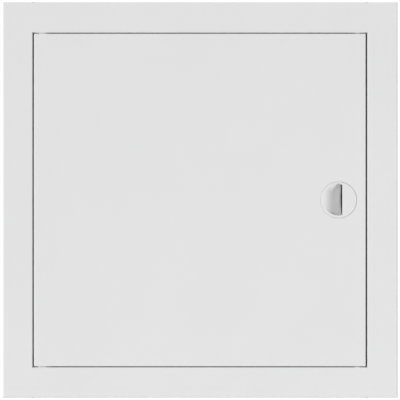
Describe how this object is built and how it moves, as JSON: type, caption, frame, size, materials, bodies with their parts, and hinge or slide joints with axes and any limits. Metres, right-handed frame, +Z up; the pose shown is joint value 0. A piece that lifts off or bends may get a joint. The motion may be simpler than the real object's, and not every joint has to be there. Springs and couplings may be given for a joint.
{
  "type": "access panel",
  "caption": "Square flush access panel: folded steel frame with a wide border, hinged steel door leaf on spring-loaded pins, and a round quarter-turn latch with a half-moon finger recess.",
  "frame": {"origin": "centre of the opening, in the plane of the wall that the border's turned lip rests on", "axes": "+X right, +Y into the opening away from the viewer, +Z up; the door's face looks along -Y"},
  "size_m": [0.35, 0.0352, 0.35],
  "materials": {
    "powder_coat": "satin white powder coat",
    "zinc_steel": "bright zinc plate",
    "rivet_aluminium": "plain",
    "spring_steel": "oiled spring steel",
    "nylon": "moulded nylon",
    "knob_plastic": "satin white paint over dark plastic"
  },
  "bodies": {
    "frame": {"frame": "powder_coat", "top_rail": "powder_coat", "bottom_rail": "powder_coat", "latch_rail": "powder_coat", "hinge_rail": "powder_coat", "rail_rivets": "rivet_aluminium", "upper_hinge_bush": "nylon", "lower_hinge_bush": "nylon", "gap_buffers": "nylon"},
    "door": {"door_leaf": "powder_coat", "left_stiffener": "powder_coat", "right_stiffener": "powder_coat", "stiffener_rivets": "rivet_aluminium", "upper_pin_bracket": "powder_coat", "lower_pin_bracket": "powder_coat", "lower_hinge_pin": "zinc_steel", "pin_spring": "spring_steel", "latch_housing": "nylon", "latch_studs": "zinc_steel", "latch_nuts": "zinc_steel"},
    "hinge_pin": {"upper_hinge_pin": "zinc_steel", "pin_collar": "zinc_steel"},
    "latch": {"latch_knob": "knob_plastic", "spring_washer": "spring_steel", "latch_cam": "zinc_steel", "cam_washer": "zinc_steel", "cam_screw": "zinc_steel"}
  },
  "joints": [
    {"name": "door_hinge", "type": "hinge", "parent": "frame", "child": "door", "pos_m": [-0.1395, -0.001, 0], "axis": [0, 0, -1], "range_deg": [0, 125]},
    {"name": "pin_slide", "type": "slide", "parent": "door", "child": "hinge_pin", "axis": [0, 0, -1], "range_m": [0, 0.0035], "stiffness_N_per_m": 500, "springref_m": -0.004, "deforming": ["pin_spring"]},
    {"name": "latch_turn", "type": "hinge", "parent": "door", "child": "latch", "pos_m": [0.1227, 0, 0], "axis": [0, -1, 0], "range_deg": [0, 90]}
  ]
}
